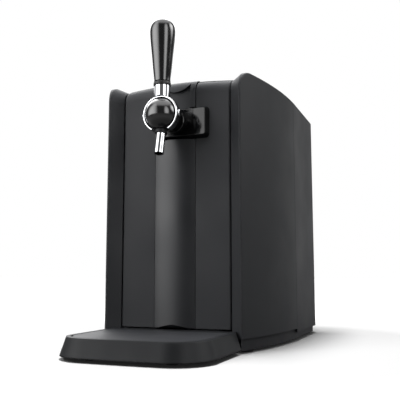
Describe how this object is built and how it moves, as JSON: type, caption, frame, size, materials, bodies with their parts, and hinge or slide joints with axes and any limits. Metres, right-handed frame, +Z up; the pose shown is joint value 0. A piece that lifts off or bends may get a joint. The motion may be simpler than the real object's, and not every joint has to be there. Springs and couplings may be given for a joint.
{
  "type": "beer dispenser",
  "caption": "Countertop draught beer dispenser for slim mini kegs: cooled bay behind a hinged tap door, C-yoke tap with tall grip, hinged lid and a sliding drip tray.",
  "frame": {"origin": "middle of the overall box in plan, on the worktop", "axes": "+Z up, front towards -Y, +X to the right seen from the front"},
  "size_m": [0.261, 0.494, 0.444],
  "materials": {
    "housing_plastic": "fine-grained satin anthracite moulding",
    "inner_plastic": "plain grey moulding",
    "gloss_black": "polished black plastic",
    "display": "dark polished window",
    "chrome": "polished chrome plating",
    "steel": "turned steel",
    "aluminium": "extruded aluminium",
    "foam": "rigid foam",
    "rubber": "black rubber",
    "seal": "soft grey seal",
    "ceramic": "white ceramic tile",
    "board": "green circuit board",
    "part_black": "black technical plastic",
    "brass": "plain brass"
  },
  "bodies": {
    "housing": {"base_pan": "part_black", "rubber_feet": "rubber", "right_side_panel": "housing_plastic", "left_side_panel": "housing_plastic", "rear_cover": "housing_plastic", "front_frame": "inner_plastic", "top_deck": "inner_plastic", "keg_well": "inner_plastic", "well_insulation": "foam", "cold_plate": "aluminium", "cooling_module": "ceramic", "rear_bulkhead": "inner_plastic", "heat_sink": "aluminium", "fan_frame": "part_black", "fan_screws": "steel", "power_supply": "part_black", "control_board": "board", "air_pump": "part_black", "air_line": "rubber", "air_port": "brass", "mains_inlet": "part_black", "inlet_pins": "brass", "switch_bezel": "part_black", "cover_screws": "steel", "lid_hinge_pins": "steel"},
    "front_door": {"left_front_panel": "housing_plastic", "right_front_panel": "housing_plastic", "centre_column": "housing_plastic", "tap_block": "gloss_black", "display_window": "display", "display_board": "board", "door_liner": "inner_plastic", "door_gasket": "seal", "door_screws": "steel", "door_hinge_pins": "steel", "tap_ball": "gloss_black", "tap_barrel": "gloss_black", "tap_nut": "brass", "hose_stub": "steel", "spout": "chrome", "spout_collar": "gloss_black", "yoke_pivots": "gloss_black"},
    "tap_handle": {"handle_yoke": "chrome", "handle_neck": "chrome", "handle_grip": "gloss_black"},
    "top_lid": {"lid_cover": "housing_plastic", "lid_pull": "housing_plastic", "pull_screws": "steel", "lid_core": "inner_plastic", "lid_gasket": "seal"},
    "drip_tray": {"drip_tray_body": "housing_plastic", "tray_pads": "rubber"},
    "drip_plate": {"drip_plate": "housing_plastic"},
    "fan_rotor": {"fan_rotor": "part_black"},
    "power_switch": {"power_switch": "part_black"}
  },
  "joints": [
    {"name": "door_hinge", "type": "hinge", "parent": "housing", "child": "front_door", "pos_m": [-0.0744, -0.0836, 0.17], "axis": [0, 0, -1], "range_deg": [0, 90]},
    {"name": "handle_pull", "type": "hinge", "parent": "front_door", "child": "tap_handle", "pos_m": [0, -0.135, 0.311], "axis": [1, 0, 0], "range_deg": [0, 45]},
    {"name": "lid_hinge", "type": "hinge", "parent": "housing", "child": "top_lid", "pos_m": [0, 0.172, 0.3595], "axis": [-1, 0, 0], "range_deg": [0, 75]},
    {"name": "tray_slide", "type": "slide", "parent": "housing", "child": "drip_tray", "axis": [0, -1, 0], "range_m": [0, 0.14]},
    {"name": "drip_plate_lift", "type": "slide", "parent": "drip_tray", "child": "drip_plate", "axis": [0, 0, 1], "range_m": [0, 0.04]},
    {"name": "fan_spin", "type": "hinge", "parent": "housing", "child": "fan_rotor", "pos_m": [0, 0.14, 0.17], "axis": [0, 1, 0], "continuous": true},
    {"name": "switch_rock", "type": "hinge", "parent": "housing", "child": "power_switch", "pos_m": [-0.016, 0.239, 0.043], "axis": [1, 0, 0], "range_deg": [-8, 8]}
  ]
}
